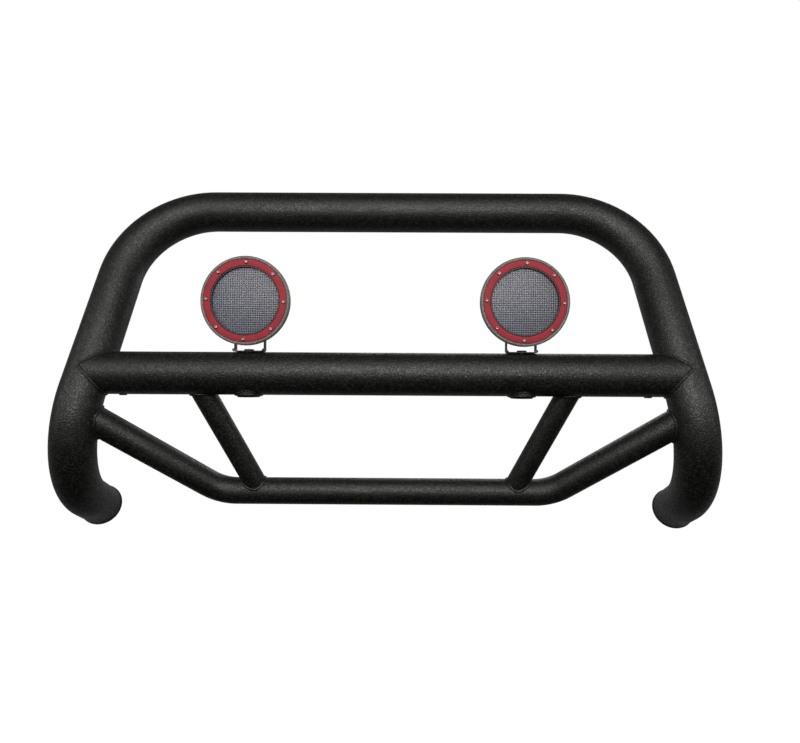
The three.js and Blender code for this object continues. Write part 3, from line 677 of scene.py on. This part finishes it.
def sheet_ring(centre, normal, low, high, half, edge=0.5, steps=3):
    """Section of bent sheet across Y: a thin rectangle with rounded edges."""
    edge = min(edge, (high - low) / BRACKET["edge_ratio"])
    ring = []
    corners = ((high, half, 0), (low, half, 1), (low, -half, 2), (high, -half, 3))
    for y, out, quarter in corners:
        centre_y = y - edge if y == high else y + edge
        centre_out = out - edge if out > 0 else out + edge
        for i in range(steps + 1):
            angle = math.pi / 2 * (quarter + i / steps)
            along = centre_y + edge * math.cos(angle)
            depth = centre_out + edge * math.sin(angle)
            ring.append((centre[0] + normal[0] * depth, along, centre[1] + normal[1] * depth))
    return np.array(ring)


def bracket_shape():
    """U bracket on the pan axis, with its underside at height 0."""
    half = BRACKET["sheet"] / 2
    ear_x = BRACKET["ears"] / 2
    ear = BRACKET["ear"]
    angles = np.linspace(math.radians(BRACKET["top_angle"]), 0, BRACKET["ear_steps"])
    heights = [TILT_HEIGHT + ear * math.sin(angle) for angle in angles]
    heights += [BRACKET["foot"] + BRACKET["slope"]]
    bend = BRACKET["bend"] + half
    stations = [((-ear_x, z), (-1, 0)) for z in heights]
    for angle in np.linspace(0, math.pi / 2, BRACKET["bend_steps"]):
        centre = (-ear_x + bend, half + bend)
        normal = (-math.cos(angle), -math.sin(angle))
        stations.append(((centre[0] + bend * normal[0], centre[1] + bend * normal[1]), normal))
    stations += [((-x, z), (-nx, nz)) for (x, z), (nx, nz) in stations[::-1]]
    rings = []
    for centre, normal in stations:
        z = centre[1]
        if z > TILT_HEIGHT:
            reach = math.sqrt(max(ear ** 2 - (z - TILT_HEIGHT) ** 2, SMALLEST))
            low, high = TILT_Y - reach, TILT_Y + reach
        else:
            share = min(max((z - BRACKET["foot"]) / BRACKET["slope"], 0), 1)
            low = BRACKET["front"] * (1 - share) + (TILT_Y - ear) * share
            high = BRACKET["back"] * (1 - share) + (TILT_Y + ear) * share
        rings.append(sheet_ring(centre, normal, low, high, half))
    return skin(rings)


# ---- lights -------------------------------------------------------------------------------------------

def lens_shape():
    """Crowned lens with a moulded grid of small pillows, closed at the back by a flat face."""
    pitch, steps, depth = LENS_CELL["pitch"], LENS_CELL["steps"], LENS_CELL["depth"]
    half_count = int(LENS["radius"] / pitch) * steps
    step = pitch / steps
    index = {}
    points, faces = [], []

    def corner(i, k):
        if (i, k) not in index:
            x, z = i * step, k * step
            out = min(math.hypot(x, z) / LENS["crown_radius"], 1)
            wave = math.sin(math.pi * x / pitch) * math.sin(math.pi * z / pitch)
            pillow = abs(wave) ** LENS_CELL["power"]
            y = LENS["front"] - LENS["crown"] * (1 - out ** 2) - depth * (pillow if out < 1 else 0)
            index[i, k] = len(points)
            points.append((x, y, z))
        return index[i, k]

    cells = range(-half_count, half_count)
    for i in cells:
        for k in cells:
            reach = max(math.hypot(a * step, b * step) for a in (i, i + 1) for b in (k, k + 1))
            if reach <= LENS["radius"]:
                faces.append([corner(i, k), corner(i + 1, k), corner(i + 1, k + 1), corner(i, k + 1)])
    edges = {}
    for face in faces:
        for a, b in zip(face, face[1:] + face[:1]):
            edges[a, b] = True
    rim = {a: b for a, b in edges if (b, a) not in edges}
    loop = [next(iter(rim))]
    while rim[loop[-1]] != loop[0]:
        loop.append(rim[loop[-1]])
    start = len(points)
    points += [(points[a][0], LENS["back"], points[a][2]) for a in loop]
    for i in range(len(loop)):
        k = (i + 1) % len(loop)
        faces.append([loop[k], loop[i], start + i, start + k])
    faces.append([start + i for i in range(len(loop))])
    return np.array(points), faces


def housing_shape():
    """Cast housing with its rim, pivot lug and fins, around the middle of the lens."""
    radius, lip, front, chamfer = (RIM[key] for key in ("radius", "lip", "front", "chamfer"))
    ledge, ledge_front, seat = (HOUSING[key] for key in ("ledge", "ledge_front", "seat_front"))
    pot = [(HOUSING["well"], HOUSING["floor"]), (HOUSING["well"], ledge_front), (ledge, ledge_front),
           (ledge, seat), (lip, seat), (lip, front), (radius - chamfer, front),
           (radius, front + chamfer), (radius, RIM["back"]), *HOUSING_BACK]
    shapes = [solid_of(turned(rounded(pot, HOUSING["edge"])))]
    low = np.array([0, 0, -LENS_HEIGHT])
    half, barrel, edge = PIVOT["half"], PIVOT["radius"], PIVOT["edge"]
    rod = rounded([(CORE, -half), (barrel, -half), (barrel, half), (CORE, half)], edge)
    rod_points, rod_faces = solid_of(turned(rod, ROUNDS["small"], axis="Z"))
    shapes.append((rod_points[:, [2, 1, 0]] + low, [face[::-1] for face in rod_faces]))
    web_low = (-half, PIVOT["web_front"], -LENS_HEIGHT - PIVOT["web_drop"])
    shapes.append(block(web_low, (half, 0, -LENS_HEIGHT + barrel), edge))
    for offset in FINS["offsets"]:
        reach = math.sqrt(FINS["radius"] ** 2 - offset ** 2)
        for way in (-1, 1):
            x = way * offset
            fin_low = (x - FINS["half"], FINS["front"], max(-reach, FINS["bottom"]))
            shapes.append(block(fin_low, (x + FINS["half"], FINS["depth"], reach), FINS["edge"]))
    return merged(shapes)


def ring_screw():
    """Button head screw with a hex socket, pointing backwards from the face of the trim ring."""
    under = RIM["front"] - SCREWS["sunk"]
    top = under - SCREWS["height"]
    floor = top + SCREWS["socket_depth"]
    core, socket, head, shank = (SCREWS[key] for key in ("core", "socket", "head", "shank"))
    profile = [(core, floor), (socket, floor), (socket, top), (SCREWS["top"], top),
               (head, top + SCREWS["crown"]), (head, under), (shank, under),
               (shank, under + SCREWS["length"])]
    profile = rounded(profile, SCREWS["edge"], SCREWS["edge_steps"])
    return solid_of(turned(profile, ROUNDS["screw"], hexagon=socket))


def add_light(name, side):
    """One light on its bracket."""
    pan = (side * LIGHT_X, 0, BRACKET_BOTTOM)
    tilt = (side * LIGHT_X, TILT_Y, BRACKET_BOTTOM + TILT_HEIGHT)
    face = (side * LIGHT_X, TILT_Y, BRACKET_BOTTOM + TILT_HEIGHT + LENS_HEIGHT)
    body = f"{name}_light"

    def on_light(piece, shape, nodes, material, at=face):
        add_piece(f"{name}_{piece}", *moved(shape, at), body, [f"{name}_{n}" for n in nodes], material)

    bracket = moved(bracket_shape(), pan)
    add_piece(f"{name}_u_bracket", *bracket, f"{name}_bracket", [f"{name}_light_bracket"], "bracket_black")
    for place, way in (("outer", side), ("inner", -side)):
        seat = np.array(tilt) + (way * TILT_HEAD["seat"], 0, 0)
        head = hex_head(TILT_HEAD["corner"], TILT_HEAD["height"])
        head = aimed(head, (way, 0, 0), seat, TILT_HEAD["turn"])
        node = f"{name}_{place}_tilt_bolt"
        add_piece(f"{node}_head", *head, body, [node], "black_bolt")

    on_light("lamp_body", housing_shape(), ["light_housing"], "cast_grey")
    gland = turned_ring(GLAND, RING_EDGES["gland"], ROUNDS["small"])
    on_light("cord_gland", gland, ["cable_gland"], "rubber")
    on_light("red_ring", turned_ring(RED_RING, RING_EDGES["red"]), ["trim_ring"], "red_trim")
    on_light("black_bezel", turned_ring(BEZEL, RING_EDGES["bezel"]), ["inner_bezel"], "bezel_black")
    on_light("lens_disc", lens_shape(), ["lens"], "lens_glass")
    for i in range(SCREWS["count"]):
        angle = math.radians(SCREWS["first"] + 360 * i / SCREWS["count"])
        offset = np.array([math.cos(angle), 0, math.sin(angle)]) * SCREWS["circle"]
        nodes = [f"trim_screw_{i + 1}"]
        on_light(f"ring_screw_{i + 1}", ring_screw(), nodes, "bright_screw", face + offset)

    inside = {"led_board": "led_board", "reflector": "reflector_chrome", "lens_gasket": "rubber"}
    for node, material in inside.items():
        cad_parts[f"{name}_{node}"].material_slots[0].material = FINISHES[material]


for side_name, side in SIDES.items():
    add_leg_end(side_name, side)
    add_mount(side_name, side)
    add_light(side_name, side)


# ---- stage, lights and camera -------------------------------------------------------------------------

FLOOR = {
    "height": -0.35, "radius": 9.0, "grain": 300.0, "roughness": 0.9,
    "dark": (0.02, 0.02, 0.02), "light": (0.03, 0.03, 0.03),
    "dim_glow": (0.985, 0.985, 0.985), "glow": (1.0, 1.0, 1.0)}


def add_floor():
    """Pale round floor that gives its own even light to the camera, and none to the part."""
    rim = circle(FLOOR["radius"], (0, 0), ROUND)
    mesh = bpy.data.meshes.new("floor")
    mesh.from_pydata([(x, y, FLOOR["height"]) for x, y in rim], [], [list(range(ROUND))])
    floor = bpy.data.objects.new("floor", mesh)
    bpy.context.scene.collection.objects.link(floor)
    pale = Finish("floor_pale", specular=0.1)
    tone = pale.noise(FLOOR["grain"], detail=2.0)
    pale.feed(pale.shader.inputs["Emission Color"], pale.blend(tone, FLOOR["dim_glow"], FLOOR["glow"]))
    pale.shader.inputs["Emission Strength"].default_value = 1.0
    colour = pale.blend(tone, FLOOR["dark"], FLOOR["light"])
    mesh.materials.append(pale.surface(colour, FLOOR["roughness"]))
    floor.visible_diffuse = False
    floor.visible_glossy = False
    floor.visible_transmission = False


WARM = (1.0, 0.985, 0.95)
WHITE = (1.0, 1.0, 1.0)
SOFTBOXES = {
    "key": {"place": (0.0, -2.0, 0.92), "aim": (0.0, -0.05, 0.33), "size": (2.4, 0.5), "power": 30.0,
            "colour": WARM},
    "upper": {"place": (0.0, -1.75, 1.9), "aim": (0.0, -0.05, 0.4), "size": (2.6, 0.9), "power": 19.0,
              "colour": WARM},
    "rear": {"place": (0.5, 1.9, 1.2), "aim": (0.0, 0.0, 0.3), "size": (1.6, 0.8), "power": 7.0,
             "colour": WHITE},
}
for side_name, side in SIDES.items():
    SOFTBOXES[f"{side_name}_fill"] = {
        "place": (side * 1.5, -0.75, 0.7), "aim": (side * 0.52, -0.05, 0.35), "size": (0.5, 0.8),
        "power": 3.5, "colour": WHITE}


def add_softbox(name, place, aim, size, power, colour):
    """Rectangular area light at a place, facing another."""
    lamp = bpy.data.lights.new(name, "AREA")
    lamp.shape = "RECTANGLE"
    lamp.size, lamp.size_y = size
    lamp.energy = power
    lamp.color = colour
    box = bpy.data.objects.new(name, lamp)
    bpy.context.scene.collection.objects.link(box)
    place, aim = Vector(place), Vector(aim)
    box.location = place
    box.rotation_euler = (aim - place).to_track_quat("-Z", "Y").to_euler()
    box.visible_camera = False


# Strength of the surroundings, as (start, end, low, high) over a direction's y, x and z.
WORLD = {
    "behind": (0.1, 0.75, 0.0, 0.28), "beside": (0.55, 1.0, 0.0, 0.1), "above": (-0.2, 1.0, 0.004, 0.03)}


def light_world():
    """White where the camera looks, and a soft studio for lighting: bright behind, dim elsewhere."""
    world = bpy.data.worlds.new("studio")
    world.use_nodes = True
    bpy.context.scene.world = world
    tree = world.node_tree
    tree.nodes.clear()

    def result(kind, output, values, **settings):
        made = tree.nodes.new(kind)
        for key, value in settings.items():
            setattr(made, key, value)
        for socket, value in zip(made.inputs, values):
            if isinstance(value, bpy.types.NodeSocket):
                tree.links.new(value, socket)
            else:
                socket.default_value = value
        return made.outputs[output]

    def calculate(operation, first, second):
        return result("ShaderNodeMath", "Value", (first, second), operation=operation)

    def ramp(value, limits):
        return result("ShaderNodeMapRange", "Result", (value, *limits), interpolation_type="SMOOTHSTEP")

    direction = tree.nodes.new("ShaderNodeTexCoord").outputs["Generated"]
    split = tree.nodes.new("ShaderNodeSeparateXYZ")
    tree.links.new(direction, split.inputs[0])
    sideways = calculate("ABSOLUTE", split.outputs["X"], 0.0)
    behind = ramp(split.outputs["Y"], WORLD["behind"])
    beside = ramp(sideways, WORLD["beside"])
    above = ramp(split.outputs["Z"], WORLD["above"])
    total = calculate("ADD", calculate("ADD", behind, beside), above)
    soft = tree.nodes.new("ShaderNodeBackground")
    tree.links.new(total, soft.inputs["Strength"])
    white = tree.nodes.new("ShaderNodeBackground")
    white.inputs["Strength"].default_value = 1.0
    white.inputs["Color"].default_value = (1.0, 1.0, 1.0, 1.0)
    seen = tree.nodes.new("ShaderNodeLightPath").outputs["Is Camera Ray"]
    mix = tree.nodes.new("ShaderNodeMixShader")
    tree.links.new(seen, mix.inputs[0])
    tree.links.new(soft.outputs[0], mix.inputs[1])
    tree.links.new(white.outputs[0], mix.inputs[2])
    output = tree.nodes.new("ShaderNodeOutputWorld")
    tree.links.new(mix.outputs[0], output.inputs["Surface"])


CAMERA = {
    "place": (0.0315, -1.1129, 0.3095), "yaw": -0.0049, "pitch": 0.0053, "roll": 0.0056,
    "lens": 26.35, "sensor": 36.0}


def add_camera():
    """The camera, turned by its yaw, pitch and roll from looking along Y."""
    yaw, pitch, roll = CAMERA["yaw"], CAMERA["pitch"], CAMERA["roll"]
    ahead = Vector((math.sin(yaw) * math.cos(pitch), math.cos(yaw) * math.cos(pitch), math.sin(pitch)))
    level = Vector((math.cos(yaw), -math.sin(yaw), 0))
    upright = level.cross(ahead)
    right = level * math.cos(roll) + upright * math.sin(roll)
    up = upright * math.cos(roll) - level * math.sin(roll)
    data = bpy.data.cameras.new("camera")
    data.lens = CAMERA["lens"]
    data.sensor_width = CAMERA["sensor"]
    camera = bpy.data.objects.new("camera", data)
    bpy.context.scene.collection.objects.link(camera)
    turn = Matrix((right, up, -ahead)).transposed().to_4x4()
    camera.matrix_world = Matrix.Translation(CAMERA["place"]) @ turn
    bpy.context.scene.camera = camera


add_floor()
for name, settings in SOFTBOXES.items():
    add_softbox(name, **settings)
light_world()
add_camera()
bpy.context.scene.view_settings.view_transform = "Standard"
